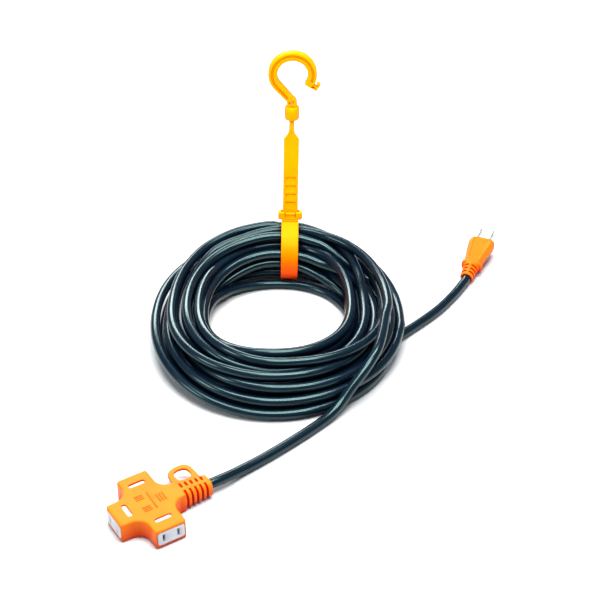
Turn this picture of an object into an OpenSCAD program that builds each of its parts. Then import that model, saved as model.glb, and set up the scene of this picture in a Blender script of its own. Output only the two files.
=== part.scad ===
// Extension cord with a three-outlet connector, a two-blade plug and a swivel-hook hanger.
// The frame: +X right, +Y away, +Z up, millimetres. The origin is on the floor, under the middle
// of the connector and hanger taken together.

/* [Cord] */
// Diameter of the round cord
cord_d = 9; // [8:0.5:10]
// Radius of the middle of the coil's bundle
coil_r = 90; // [80:1:95]
// Half of the straight stretch at each side of the coil
coil_half_straight = 12; // [4:1:20]
// Radius of the bundle of turns
bundle_r = 27.5; // [24:0.5:28]

/* [Connector] */
// Thickness of the connector
conn_h = 18; // [16:0.5:20]
// Half the width of each outlet arm
arm_half = 13.5; // [13:0.1:15]
// Reach of the end outlet from the middle of the cross
end_reach = 33; // [31:0.5:36]
// Reach of each side outlet from the middle of the cross
side_reach = 34.5; // [32:0.5:37]
// Radius of the hollow corners between the arms
corner_r = 11; // [8:0.5:12]
// Reach of the strain relief from the middle of the cross
relief_reach = 52.5; // [51:0.5:56]

/* [Outlets and blades] */
// Spacing of the two blades
blade_gap = 12.7; // [12.7]
// Thickness of a blade
blade_t = 1.5; // [1.4:0.1:1.6]
// Width of a blade
blade_w = 6.3; // [6.2:0.1:6.4]
// Length of a blade outside the plug
blade_l = 17; // [16:0.5:18]
// Diameter of the hole in a blade
blade_hole_d = 3; // [3:0.1:3.2]

/* [Plug] */
// Length of the plug from the cord to its face
plug_l = 60; // [58:0.5:68]
// Thickness of the plug's body
plug_h = 12.6; // [12:0.1:14]
// Upward pitch of the plug, in degrees
plug_pitch = 8; // [4:1:10]

/* [Hanger] */
// Outer radius of the strap's loop round the bundle
loop_r = 29.6; // [29:0.1:30]
// Thickness of the strap's loop
loop_t = 1.8; // [1.6:0.1:1.8]
// Width of the strap that carries the buckle
loop_w = 16.6; // [15:0.1:17]
// Width of the ladder belt
belt_w = 14.4; // [13:0.1:15]
// Thickness of the ladder belt
belt_t = 2.4; // [2:0.1:2.8]
// Inner radius of the hook
hook_r = 14; // [12:0.5:15]
// Width of the hook's section
hook_w = 8.2; // [7:0.1:8.4]
// Depth of the hook's section
hook_depth = 8; // [7:0.1:9]
// Radius of the swivel stem
stem_r = 2.35; // [2.2:0.05:2.5]

/* [Hidden] */
$fn = 64;
eps = 0.01;
pvc_orange = [1, 0.5, 0.1];
moulded_white = [0.95, 0.94, 0.96];
nylon_yellow = [1, 0.78, 0];
cord_black = [0.06, 0.08, 0.11];
brass = [0.8, 0.65, 0.3];
nickel = [0.78, 0.78, 0.76];

// Places in the frame
conn_at = [-49.7, -170, 0];
conn_turn = 32.5;
coil_at = [47.3, 74.5, 0];
hang_at = [57.9, 176.5, 30];
hang_lean = 1.1;
plug_at = [233.6, 159.9, 6.7];
plug_turn = 68;

// The cord's route where it isn't coiled, in the frame, by hand
conn_tail = [
    [-24.4, -153.9, 9], [-14.3, -147.4, 9], [-4.2, -141, 9], [2.6, -136.3, 8.6], [11, -129, 7],
    [20, -120.5, 5.4], [36, -107, 4.6], [53, -92, 4.6], [71, -75, 4.6], [87, -59, 5],
    [97, -48.5, 7], [105, -39.5, 11], [112, -31, 17],
];
plug_tail = [
    [149, 53, 4.6], [162, 66, 4.6], [177, 81.5, 4.6], [192, 97.5, 4.6], [204, 112, 4.6],
    [214, 126.5, 4.6], [222, 139, 4.9], [228, 149.3, 5.5], [231.3, 154.6, 6], [233.6, 159.9, 6.7],
    [236.9, 168.2, 8], [240.3, 176.4, 9.2],
];

// Derived sizes of the connector
core_gap = 2.6;
core_wall = 1.6;
core_half = arm_half - 2.6;
insert_w = 2 * arm_half - 3.4;
insert_h = conn_h - 5.2;
insert_l = 7;
mid_z = conn_h / 2;
relief_from = 25;
relief_r1 = 9;
relief_r2 = 7.5;
groove_w = 1.7;
eye_z = mid_z - 0.3;
eye_t = 2.6;
groove_pitch = 4.63;
cord_bore_r = cord_d / 2 + 0.1;
jacket_end = 30;
slot_w = blade_t + 0.5;
slot_h = blade_w + 0.9;
wire_r = 1.7;
wire_y = 2.2;
strand_r = 0.95;
crimp_r = 1.6;
crimp_x = 12;
crimp_l = 4;
bar_t = 0.8;
bar_w = 3.4;
bar_out = 8;
bar_low = core_gap + core_wall + 0.4;
bar_high = conn_h - core_gap - core_wall - 0.4 - bar_t;

// Derived sizes of the plug
plug_relief_l = 17;
flange_l = 6;
flange_w = 21.4;
flange_h = 14;
body_from = plug_relief_l + flange_l;
bridge_l = 14;
bridge_half_w = 9.4;
bridge_half_h = 4.4;
plug_jacket_end = 18;
plug_back_half = 9.2;
plug_front_half = 12.4;
// how far each layer of the body stands in from its top and from its outline
plug_steps = [[0, 1.9], [0.7, 0.7], [1.9, 0]];
pocket_from = 25.5;
pocket_half_w = 8;
wire_half_w = 4.2;
blade_hole_x = 11.7;
plug_crimp_y = blade_gap / 2 - blade_t / 2 - 1.6;
plug_crimp_x = plug_l - bridge_l - 8;

// Derived sizes of the hanger
hook_mid = hook_r + hook_w / 2;
hook_z = 190.8;
hook_end_angle = -24;
shank_angle = 222;
collar_z = 145.4;
collar_h = 13;
collar_r = 6.8;
head_r = 4.2;
belt_top_z = 126.4;
buckle_z = 36.4;
buckle_h = 8.6;
buckle_w = 23.4;
buckle_depth = 6.6;
pawl_w = 9.4;
pawl_pin_r = 0.9;
pawl_z = buckle_z + 1.6;
pawl_y = -2.9;

// ---------------------------------------------------------------- helpers

module rounded_rect(w, h, r) {
    square([w - 2 * r, h], center = true);
    square([w, h - 2 * r], center = true);
    for (x = [-1, 1], y = [-1, 1]) {
        translate([x * (w / 2 - r), y * (h / 2 - r)]) circle(r);
    }
}

module place_connector() {
    translate(conn_at) rotate([0, 0, conn_turn]) children();
}

module place_plug() {
    translate(plug_at) rotate([0, -plug_pitch, plug_turn]) children();
}

module place_hanger() {
    translate(hang_at) rotate([0, hang_lean, 0]) children();
}

// A square frame across each point of a route, swept into one tube
function unit(v) = v / norm(v);
function heading(p, i) = unit(p[min(i + 1, len(p) - 1)] - p[max(i - 1, 0)]);
function side(d) = unit(cross([0, 0, 1], d));
function ring(p, i, r, n) = [
    for (k = [0:n - 1])
        let (d = heading(p, i), s = side(d), u = cross(d, s), a = 360 * k / n)
            p[i] + r * (cos(a) * s + sin(a) * u)
];

module swept_tube(p, r, n) {
    rings = len(p);
    points = [for (i = [0:rings - 1]) each ring(p, i, r, n)];
    walls = [
        for (i = [0:rings - 2], k = [0:n - 1])
            [(i + 1) * n + k, (i + 1) * n + (k + 1) % n, i * n + (k + 1) % n, i * n + k]
    ];
    first = [for (k = [0:n - 1]) k];
    last = [for (k = [n - 1:-1:0]) (rings - 1) * n + k];
    polyhedron(points, concat(walls, [first, last]), convexity = 6);
}

// A smooth curve through a route's points, a few rings to each span
function spline(a, b, c, d, t) =
    0.5 * (2 * b + (c - a) * t + (2 * a - 5 * b + 4 * c - d) * t * t
        + (3 * b - a - 3 * c + d) * t * t * t);
function smooth_route(p, steps) = concat([
    for (i = [0:len(p) - 2], s = [0:steps - 1])
        spline(p[max(i - 1, 0)], p[i], p[i + 1], p[min(i + 2, len(p) - 1)], s / steps)
], [p[len(p) - 1]]);

// ---------------------------------------------------------------- cord

module cord_tail_connector() {
    color(cord_black) swept_tube(smooth_route(conn_tail, 2), cord_d / 2, 12);
}

module cord_tail_plug() {
    color(cord_black) swept_tube(smooth_route(plug_tail, 2), cord_d / 2, 12);
}

module half_coil() {
    rotate_extrude(angle = 180) translate([coil_r, 0]) circle(bundle_r);
}

module coil_side(x) {
    translate([x, coil_half_straight, 0]) rotate([90, 0, 0])
        cylinder(r = bundle_r, h = 2 * coil_half_straight);
}

// The outer shape of all the turns, with a waist where the strap's loop holds them
module cord_coil() {
    waist_r = loop_r - loop_t - 0.5;
    color(cord_black) difference() {
        translate(coil_at + [0, 0, bundle_r]) {
            translate([0, coil_half_straight, 0]) half_coil();
            rotate([0, 0, 180]) translate([0, coil_half_straight, 0]) half_coil();
            coil_side(coil_r);
            coil_side(-coil_r);
        }
        place_hanger() rotate([0, 90, 0]) difference() {
            cylinder(r = loop_r + 8, h = loop_w + 2.4, center = true);
            cylinder(r = waist_r, h = loop_w + 4, center = true);
        }
    }
}

// ---------------------------------------------------------------- connector

// The connector's outline: a cross whose neck arm is narrower, with hollow round corners
module hollow_corner(x_sign, y_sign, x_edge, y_edge, r) {
    difference() {
        translate([min(0, x_sign) * r + x_sign * x_edge, min(0, y_sign) * r + y_sign * y_edge])
            square(r);
        translate([x_sign * (x_edge + r), y_sign * (y_edge + r)]) circle(r);
    }
}

module cross_outline() {
    overlap = 1;
    translate([-end_reach, -arm_half]) square([end_reach, 2 * arm_half]);
    translate([-arm_half, -side_reach]) square([2 * arm_half, 2 * side_reach]);
    translate([0, -relief_r1]) square([relief_from + overlap, 2 * relief_r1]);
    for (y = [-1, 1]) {
        hollow_corner(-1, y, arm_half, arm_half, corner_r);
        hollow_corner(1, y, arm_half, relief_r1, corner_r);
    }
}

module relief_profile(length, r1, r2, first, pitch, count, depth) {
    difference() {
        polygon([[0, 0], [length, 0], [length, r2 - 0.8], [length - 0.8, r2], [0, r1]]);
        for (i = [0:count - 1]) {
            translate([first + i * pitch, r1 - depth - (r1 - r2) * (first + i * pitch) / length])
                square([groove_w, 2 * depth]);
        }
    }
}

// A ribbed cone along +X, its grooves bridged at the top and the bottom
module ribbed_relief(length, r1, r2, first, pitch, count, depth) {
    rotate([0, 90, 0]) rotate_extrude()
        mirror([1, -1]) relief_profile(length, r1, r2, first, pitch, count, depth);
    for (z = [-1, 1]) {
        intersection() {
            translate([length / 2, 0, z * r1 * 0.7])
                cube([length - 1.6, 2.4, r1 * 0.6], center = true);
            rotate([0, 90, 0]) cylinder(r1 = r1 - 0.2, r2 = r2 - 0.2, h = length);
        }
    }
}

// One plate of a relief with nearly flat sides, across +X
module rib(from, to, r) {
    translate([from, 0, 0]) rotate([0, 90, 0]) linear_extrude(to - from)
        rounded_rect(2 * r, 2.14 * r, 0.55 * r);
}

// A ribbed block along +X that gets slimmer, its grooves bridged at the top and the bottom
module ribbed_block(length, r1, r2, first, pitch, count, depth) {
    rib(0, length, r2 - depth);
    rib(0, first, r1);
    for (i = [0:count - 1]) {
        from = first + i * pitch + groove_w;
        to = i == count - 1 ? length : first + (i + 1) * pitch;
        rib(from, to, r1 + (r2 - r1) * to / length);
    }
    for (z = [-1, 1]) {
        translate([length / 2, 0, z * (r2 - 1.2)]) cube([length - 1.6, 2.4, 2], center = true);
    }
}

// The flat eye at the left of the neck, for hanging the connector
module hanging_eye() {
    translate([0, 0, eye_z]) linear_extrude(eye_t) difference() {
        union() {
            polygon([[26, 5], [51, 5], [51.2, 26.5], [33.5, 31.6], [29, 27]]);
            translate([34, 26.5]) circle(5.2);
            translate([46, 26.5]) circle(5.2);
        }
        translate([39.5, 20.6]) rounded_rect(13.4, 12.2, 5);
        translate([57, 31]) rotate([0, 0, 24]) square([9, 36], center = true);
    }
}

module window_cut(x, y, turn) {
    translate([x, y, conn_h - 4]) rotate([0, 0, turn]) linear_extrude(8)
        rounded_rect(14.4, 4, 1.99);
}

module window_cuts() {
    window_cut(-20.8, 0, 90);
    window_cut(-0.6, 23, 0);
    window_cut(-0.6, -22.4, 0);
}

// The carrier's plan, drawn in by an inset at its sides and longer by a step at its open ends
module core_plan(inset, step) {
    half = core_half - inset;
    translate([-end_reach + insert_l - step, -half])
        square([end_reach - insert_l + step + half, 2 * half]);
    translate([-half, -side_reach + insert_l - step])
        square([2 * half, 2 * (side_reach - insert_l + step)]);
    polygon([
        [0, -half], [half, -half], [14.6 - inset / 2, inset - 9.7], [17.9 - inset, inset - 7.8],
        [17.9 - inset, 7.8 - inset], [14.6 - inset / 2, 9.7 - inset], [half, half], [0, half],
    ]);
}

module core_block() {
    translate([0, 0, core_gap]) linear_extrude(conn_h - 2 * core_gap) core_plan(0, 0);
}

module insert_block(length) {
    translate([0, 0, mid_z]) rotate([0, 90, 0]) linear_extrude(length)
        rounded_rect(insert_h, insert_w, 2);
}

// Places one insert's own frame: its face at x = 0, looking out along -X
module at_outlet(which) {
    if (which == "end") translate([-end_reach, 0, 0]) children();
    if (which == "left") translate([0, side_reach, 0]) rotate([0, 0, -90]) children();
    if (which == "right") translate([0, -side_reach, 0]) rotate([0, 0, 90]) children();
}

module connector_shell() {
    color(pvc_orange) place_connector() difference() {
        union() {
            linear_extrude(conn_h) cross_outline();
            translate([relief_from, 0, mid_z]) ribbed_block(
                relief_reach - relief_from, relief_r1, relief_r2, 2.6, groove_pitch, 5, 1.8);
            hanging_eye();
        }
        core_block();
        for (which = ["end", "left", "right"]) {
            at_outlet(which) translate([-1, 0, 0]) insert_block(insert_l + 1);
        }
        window_cuts();
        translate([0, 0, mid_z]) rotate([0, 90, 0]) cylinder(r = cord_bore_r, h = 60);
    }
}

// The inner carrier: a closed box with a pad under each window
module connector_core() {
    inside_h = conn_h - 2 * core_gap - 2 * core_wall;
    color(moulded_white) place_connector() difference() {
        union() {
            core_block();
            intersection() {
                window_cuts();
                translate([-50, -50, conn_h - core_gap - eps]) cube([100, 100, core_gap - 1.5]);
            }
        }
        translate([0, 0, core_gap + core_wall]) linear_extrude(inside_h)
            core_plan(core_wall, eps);
        for (y = [-1, 1]) {
            rod_x([10, y * wire_y, mid_z], wire_r + 0.1, 20);
        }
    }
}

module blade_slots(length) {
    for (y = [-1, 1]) {
        translate([length / 2 - 1, y * blade_gap / 2, mid_z])
            cube([length + 2, slot_w, slot_h], center = true);
    }
}

module outlet_insert(which) {
    color(moulded_white) place_connector() at_outlet(which) difference() {
        insert_block(insert_l);
        blade_slots(insert_l + 1);
    }
}

// One spring clip: two leaves that a blade pushes between
module clip(y, z_from, z_to) {
    for (s = [-1, 1]) {
        translate([insert_l + 1, y + s * 1.05 - 0.25, z_from]) cube([9, 0.5, z_to - z_from]);
    }
    translate([insert_l + 9.5, y - 1.3, z_from]) cube([0.5, 2.6, z_to - z_from]);
}

// One bar's plan: a strip along each arm, crossed, and a tab under its wire's ferrule
module bar_plan(side_y) {
    at_edge = side_y < 0 ? -bar_out : bar_out - bar_w;
    translate([-end_reach + insert_l + 1, at_edge]) square([38.5, bar_w]);
    translate([at_edge, -side_reach + insert_l + 1])
        square([bar_w, 2 * (side_reach - insert_l) - 2]);
    translate([crimp_x, side_y < 0 ? -5 : 0.8]) square([crimp_l, 4.2]);
}

module busbar_live() {
    color(brass) place_connector() translate([0, 0, bar_high]) linear_extrude(bar_t)
        bar_plan(-1);
}

module busbar_neutral() {
    color(brass) place_connector() translate([0, 0, bar_low]) linear_extrude(bar_t)
        bar_plan(1);
}

module contact_clips_live() {
    color(brass) place_connector() {
        at_outlet("end") clip(-blade_gap / 2, bar_low + bar_t + 0.4, bar_high);
        at_outlet("left") clip(-blade_gap / 2, bar_low + bar_t + 0.4, bar_high);
        at_outlet("right") clip(blade_gap / 2, bar_low + bar_t + 0.4, bar_high);
    }
}

module contact_clips_neutral() {
    color(brass) place_connector() {
        at_outlet("end") clip(blade_gap / 2, bar_low + bar_t, bar_high - 0.4);
        at_outlet("left") clip(blade_gap / 2, bar_low + bar_t, bar_high - 0.4);
        at_outlet("right") clip(-blade_gap / 2, bar_low + bar_t, bar_high - 0.4);
    }
}

module tube_x(at, length, r_out, r_in) {
    translate(at) rotate([0, 90, 0]) difference() {
        cylinder(r = r_out, h = length);
        translate([0, 0, -1]) cylinder(r = r_in, h = length + 2);
    }
}

// Ferrules between the wires and the bars, each standing on its bar's tab
module connector_crimps() {
    color(nickel) place_connector() {
        tube_x([crimp_x, -wire_y, mid_z], crimp_l, crimp_r, strand_r + 0.05);
        translate([crimp_x, -wire_y - 0.4, mid_z + crimp_r - 0.2])
            cube([crimp_l, 0.8, bar_high - mid_z - crimp_r + 0.2]);
        tube_x([crimp_x, wire_y, mid_z], crimp_l, crimp_r, strand_r + 0.05);
        translate([crimp_x, wire_y - 0.4, bar_low + bar_t])
            cube([crimp_l, 0.8, mid_z - crimp_r + 0.2 - bar_low - bar_t]);
    }
}

module rod_x(at, r, length) {
    translate(at) rotate([0, 90, 0]) cylinder(r = r, h = length);
}

// One insulated wire from its ferrule to the end of the jacket, its bare strands towards the bars
module connector_wire(y) {
    wire_from = crimp_x + crimp_l + 0.5;
    place_connector() {
        rod_x([wire_from, y, mid_z], wire_r, jacket_end - 0.05 - wire_from);
        rod_x([crimp_x + 0.5, y, mid_z], strand_r, crimp_l + 1);
    }
}

module connector_wire_live() {
    color(cord_black) connector_wire(-wire_y);
}

module connector_wire_neutral() {
    color(moulded_white) connector_wire(wire_y);
}

// ---------------------------------------------------------------- plug

// The body's plan, drawn in by an inset at each side
module plug_plan(inset) {
    back = plug_back_half - inset;
    front = plug_front_half - inset;
    face = plug_l - inset;
    polygon([
        [body_from, -back], [body_from + 8, -back - 0.4], [plug_l - 7, -front],
        [face - 1.4, -front + 2], [face, -front + 5], [face, front - 5], [face - 1.4, front - 2],
        [plug_l - 7, front], [body_from + 8, back + 0.4], [body_from, back],
    ]);
}

module plug_body() {
    color(pvc_orange) place_plug() difference() {
        union() {
            for (step = plug_steps) {
                translate([0, 0, -plug_h / 2 + step[0]])
                    linear_extrude(plug_h - 2 * step[0]) plug_plan(step[1]);
            }
            translate([plug_relief_l, 0, 0]) rotate([0, 90, 0]) linear_extrude(flange_l + eps)
                rounded_rect(flange_h, flange_w, 6);
            translate([plug_relief_l + 0.5, 0, 0]) rotate([0, 180, 0])
                ribbed_relief(plug_relief_l + 0.5, 7.7, 6.6, 3, 4.8, 3, 1.6);
        }
        translate([-1, 0, 0]) rotate([0, 90, 0])
            cylinder(r = cord_bore_r, h = plug_jacket_end + 1);
        // the channel and the pocket that the wires and blade tails lie in
        translate([plug_jacket_end - 0.5, -wire_half_w, -2]) cube([20, 2 * wire_half_w, 4]);
        translate([pocket_from, -pocket_half_w, -3.6])
            cube([plug_l - bridge_l - pocket_from + 1, 2 * pocket_half_w, 7.2]);
        translate([plug_l - bridge_l, -bridge_half_w, -bridge_half_h])
            cube([bridge_l + 1, 2 * bridge_half_w, 2 * bridge_half_h]);
    }
}

// The pre-moulded bridge that keeps the blades parallel
module plug_bridge() {
    color(moulded_white) place_plug() difference() {
        translate([plug_l - bridge_l, -bridge_half_w, -bridge_half_h])
            cube([bridge_l, 2 * bridge_half_w, 2 * bridge_half_h]);
        for (y = [-1, 1]) {
            translate([plug_l - bridge_l / 2, y * blade_gap / 2, 0])
                cube([bridge_l + 2, blade_t, blade_w], center = true);
        }
    }
}

module blade(y) {
    tail = 7;
    color(nickel) place_plug() difference() {
        union() {
            translate([plug_l - bridge_l - tail, y - blade_t / 2, -blade_w / 2])
                cube([bridge_l + tail + blade_l - blade_w / 2, blade_t, blade_w]);
            translate([plug_l + blade_l - blade_w / 2, y + blade_t / 2, 0]) rotate([90, 0, 0])
                cylinder(d = blade_w, h = blade_t);
        }
        translate([plug_l + blade_hole_x, y + 5, 0]) rotate([90, 0, 0])
            cylinder(d = blade_hole_d, h = 10);
    }
}

module blade_live() {
    blade(-blade_gap / 2);
}

module blade_neutral() {
    blade(blade_gap / 2);
}

// Ferrules soldered to the inner side of each blade's tail
module plug_crimps() {
    color(nickel) place_plug() for (y = [-1, 1]) {
        tube_x([plug_crimp_x, y * plug_crimp_y, 0], 5, crimp_r, strand_r + 0.05);
    }
}

// Runs from the jacket's end to its ferrule, its bare strands ending inside the ferrule
module plug_wire(s) {
    y_in = s * 2.1;
    y_out = s * plug_crimp_y;
    wire_end = plug_crimp_x - 0.5;
    route = [
        [plug_jacket_end + 0.05, y_in, 0], [wire_end - 11, y_in, 0], [wire_end - 3.5, y_out, 0],
        [wire_end, y_out, 0],
    ];
    place_plug() {
        swept_tube(smooth_route(route, 3), wire_r, 12);
        rod_x([wire_end, y_out, 0], strand_r, 5);
    }
}

module plug_wire_live() {
    color(cord_black) plug_wire(-1);
}

module plug_wire_neutral() {
    color(moulded_white) plug_wire(1);
}

// ---------------------------------------------------------------- hanger

// Everything below is drawn about the middle of the strap's loop

module half_loop(width, side) {
    intersection() {
        rotate([0, 90, 0]) difference() {
            cylinder(r = loop_r, h = width, center = true, $fn = 96);
            cylinder(r = loop_r - loop_t, h = width + 2, center = true, $fn = 96);
        }
        translate([0, side * 50, 0]) cube([60, 100, 100], center = true);
    }
}

module belt_outline() {
    neck_z = collar_z - 11;
    polygon([
        [-belt_w / 2 - 0.4, loop_r - 1], [belt_w / 2 + 0.4, loop_r - 1],
        [belt_w / 2, belt_top_z], [stem_r, neck_z], [-stem_r, neck_z], [-belt_w / 2, belt_top_z],
    ]);
}

module belt() {
    step = 9.1;
    difference() {
        translate([0, belt_t / 2, 0]) rotate([90, 0, 0]) linear_extrude(belt_t) belt_outline();
        for (i = [0:3]) {
            translate([-4.8, -belt_t / 2 - 1, buckle_z + buckle_h + 2.9 + i * step])
                cube([9.6, 1.7, step - 1.6]);
        }
    }
}

// The buckle's frame: two cheeks joined behind the belt and across the front at the bottom
module buckle_frame() {
    cheek = (buckle_w - belt_w - 1.6) / 2;
    front = -buckle_depth / 2 - 0.9;
    difference() {
        union() {
            for (s = [-1, 1]) {
                translate([s * (buckle_w - cheek) / 2 - cheek / 2, front, buckle_z])
                    cube([cheek, buckle_depth, buckle_h]);
            }
            translate([-buckle_w / 2, front + buckle_depth - 2, buckle_z])
                cube([buckle_w, 2, buckle_h]);
            for (s = [-1, 1]) {
                translate([s * 7.2 - 2.2, front, buckle_z + 0.6]) cube([4.4, 2.9, buckle_h - 1.2]);
            }
            translate([-loop_w / 2, front, buckle_z - 1.2]) cube([loop_w, 2.6, 1.7]);
            translate([-loop_w / 2, front, loop_r - 3.5])
                cube([loop_w, 2.2, buckle_z - loop_r + 3.6]);
        }
        translate([0, pawl_y, pawl_z]) rotate([0, 90, 0])
            cylinder(r = pawl_pin_r + 0.1, h = pawl_w + 3.4, center = true);
    }
}

module stem() {
    neck_z = collar_z - 11;
    translate([0, 0, neck_z - 0.5]) cylinder(r = stem_r, h = collar_z + 4.5 - neck_z);
    translate([0, 0, collar_z + 3.6]) cylinder(r1 = head_r, r2 = head_r - 1, h = 4);
}

module hanger_strap() {
    color(nylon_yellow) place_hanger() difference() {
        union() {
            half_loop(loop_w, -1);
            half_loop(belt_w + 0.8, 1);
            belt();
            buckle_frame();
            stem();
        }
        rotate([0, 90, 0]) cylinder(r = loop_r - loop_t, h = 40, center = true, $fn = 96);
    }
}

// The release tongue: a lever on two trunnions with one tooth towards the ladder
module buckle_pawl() {
    lever_h = buckle_h - 2.4;
    color(nylon_yellow) place_hanger() {
        translate([-pawl_w / 2, pawl_y - 0.9, pawl_z]) cube([pawl_w, 1.8, lever_h]);
        translate([0, pawl_y, pawl_z]) rotate([0, 90, 0])
            cylinder(r = pawl_pin_r, h = pawl_w + 2.6, center = true);
        translate([-pawl_w / 2 + 1, pawl_y, pawl_z + lever_h - 1.8]) cube([pawl_w - 2, 1.5, 1.4]);
    }
}

module hook_section() {
    difference() {
        square([hook_w, hook_depth], center = true);
        for (s = [-1, 1]) {
            translate([0.7, s * hook_depth / 2]) square([2.2, 4], center = true);
        }
    }
}

module hook_arc() {
    translate([0, 0, hook_z]) rotate([90, 0, 0]) rotate([0, 0, hook_end_angle])
        rotate_extrude(angle = shank_angle - hook_end_angle, $fn = 96)
            translate([hook_mid, 0]) hook_section();
}

module hook_shank() {
    shank_l = hook_mid * abs(cos(shank_angle)) / abs(sin(shank_angle));
    translate([hook_mid * cos(shank_angle), 0, hook_z + hook_mid * sin(shank_angle)])
        rotate([0, shank_angle - 90, 0]) translate([0, 0, -0.5])
            linear_extrude(shank_l - 1) square([hook_w - 0.3, hook_depth - 0.3], center = true);
}

// The loose end: a slotted latch plate with a barb, which snaps into the hole in the neck
module hook_latch() {
    difference() {
        translate([hook_mid * cos(hook_end_angle), 0, hook_z + hook_mid * sin(hook_end_angle)])
            rotate([0, 32, 0]) difference() {
                union() {
                    translate([-5.2, -hook_depth / 2, -4.6]) cube([8.6, hook_depth, 5]);
                    translate([-5.2, -2.6, -4.6]) cube([14.4, 5.2, 3.8]);
                    translate([7.6, -2.6, -4.6]) cube([1.8, 5.2, 7.4]);
                }
                translate([4, -5, -3.4]) cube([3, 10, 1.5]);
            }
        translate([0, 0, hook_z]) rotate([90, 0, 0])
            cylinder(r = hook_r + 0.5, h = 2 * hook_depth, center = true);
    }
}

// The shank and the short neck under it, with the window that the latch snaps into
module hook_neck() {
    difference() {
        union() {
            hook_shank();
            translate([0, 0, collar_z + collar_h - 1]) cylinder(r = 4.3, h = 6.6);
            translate([-4.3, -hook_depth / 2 + 0.8, collar_z + collar_h])
                cube([8.6, hook_depth - 1.6, 7.4]);
        }
        translate([0, 10, collar_z + collar_h + 4.6]) rotate([90, 0, 0])
            linear_extrude(20) rotate([0, 0, -25]) rounded_rect(5.4, 3, 1.45);
    }
}

module hook_collar() {
    rotate_extrude() polygon([
        [stem_r + 0.1, 0], [collar_r - 0.8, 0], [collar_r, 0.8], [collar_r, collar_h - 1.8],
        [collar_r - 1.2, collar_h], [0, collar_h], [0, collar_h - 4.6],
        [head_r + 0.3, collar_h - 4.6], [head_r + 0.3, 3.3], [stem_r + 0.1, 3.3],
    ]);
}

module swivel_hook() {
    color(nylon_yellow) place_hanger() {
        hook_arc();
        hook_latch();
        hook_neck();
        translate([0, 0, collar_z]) hook_collar();
    }
}

// ---------------------------------------------------------------- drawing

cord_tail_connector();
cord_coil();
cord_tail_plug();
connector_shell();
connector_core();
outlet_insert("end");  // outlet_insert_end
outlet_insert("left");  // outlet_insert_left
outlet_insert("right");  // outlet_insert_right
busbar_live();
busbar_neutral();
contact_clips_live();
contact_clips_neutral();
connector_crimps();
connector_wire_live();
connector_wire_neutral();
plug_body();
plug_bridge();
blade_live();
blade_neutral();
plug_crimps();
plug_wire_live();
plug_wire_neutral();
hanger_strap();
buckle_pawl();
swivel_hook();
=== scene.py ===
"""An extension cord: a coiled cable, a three-outlet connector, a plug and a strap hanger."""
import math
import random

import bmesh
import bpy
import numpy as np
from mathutils import Matrix, Vector


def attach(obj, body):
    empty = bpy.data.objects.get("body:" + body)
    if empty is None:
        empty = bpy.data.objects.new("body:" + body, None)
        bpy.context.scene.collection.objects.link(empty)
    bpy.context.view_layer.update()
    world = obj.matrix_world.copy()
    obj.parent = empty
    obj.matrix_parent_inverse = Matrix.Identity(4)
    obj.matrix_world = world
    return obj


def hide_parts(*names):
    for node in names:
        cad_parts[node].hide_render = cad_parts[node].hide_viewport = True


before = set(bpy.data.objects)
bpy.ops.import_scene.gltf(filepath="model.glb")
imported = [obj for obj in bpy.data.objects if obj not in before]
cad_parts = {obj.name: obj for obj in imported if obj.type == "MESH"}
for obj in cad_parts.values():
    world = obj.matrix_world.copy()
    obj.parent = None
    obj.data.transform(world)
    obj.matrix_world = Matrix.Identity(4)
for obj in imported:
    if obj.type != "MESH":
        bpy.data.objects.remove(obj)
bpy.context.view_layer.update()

MM = 0.001
CORD_R = 4.5
COIL_AT = (47.3, 74.5)
COIL_R = 90.0
COIL_STRAIGHT = 12.0
HANG_AT = (57.9, 176.5, 30.0)
LOOP_ROOM = 22.9          # how far a strand's middle may stand from the middle of the strap's loop
LOOP_CLEAR = 34.3         # and how near a strand outside the strap may come to it
TURNS = 16
CORD_STEP = 6.0           # how far apart the cord's points are
HELD_FIRST = 330.0        # the cord that is held where it was laid: after the connector,
HELD_LAST = 150.0         # and before the plug
LAST_TURN = 780.0         # the end of the cord that stays out of the strap's loop
CORD_SIDES = 16
SETTLING_ROUNDS = 600
LUCK = 22                 # seeds how the turns swap places
LYING = CORD_R + 0.08     # the height of a strand's middle on the floor
BELT_Y = 120.0            # strands further back pass the strap


def in_scene(name, data):
    """A new object of the scene that shows the data."""
    piece = bpy.data.objects.new(name, data)
    bpy.context.scene.collection.objects.link(piece)
    return piece


# ---------------------------------------------------------------- camera and light

def make_camera():
    data = bpy.data.cameras.new("camera")
    data.sensor_width = 36.0
    data.lens = 81.0
    data.clip_start = 0.05
    data.clip_end = 20.0
    camera = in_scene("camera", data)
    camera.location = (0.0683, -0.9522, 0.7588)
    camera.rotation_euler = (math.radians(55.0), 0.0, 0.0)
    bpy.context.scene.camera = camera


def area_light(name, place, aim, size, power, colour=(1.0, 1.0, 1.0)):
    data = bpy.data.lights.new(name, "AREA")
    data.shape = "RECTANGLE"
    data.size, data.size_y = size
    data.energy = power
    data.color = colour
    light = in_scene(name, data)
    light.location = place
    light.rotation_euler = (Vector(aim) - Vector(place)).to_track_quat("-Z", "Y").to_euler()


def make_lights():
    world = bpy.data.worlds.new("studio")
    world.use_nodes = True
    world.node_tree.nodes["Background"].inputs[0].default_value = (0.66, 0.88, 1.0, 1.0)
    world.node_tree.nodes["Background"].inputs[1].default_value = 0.32
    bpy.context.scene.world = world
    area_light("top", (0.05, 0.12, 1.35), (0.06, 0.05, 0.0), (1.1, 0.34), 23.0)
    area_light("back", (-0.25, 1.35, 0.95), (0.06, 0.1, 0.0), (0.9, 0.3), 16.0)
    area_light("left", (-1.3, -0.5, 0.8), (0.0, 0.0, 0.0), (0.5, 0.5), 8.0)
    area_light("fill", (0.12, -0.22, 0.62), (0.06, 0.176, 0.14), (0.4, 0.2), 5.0)


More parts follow.
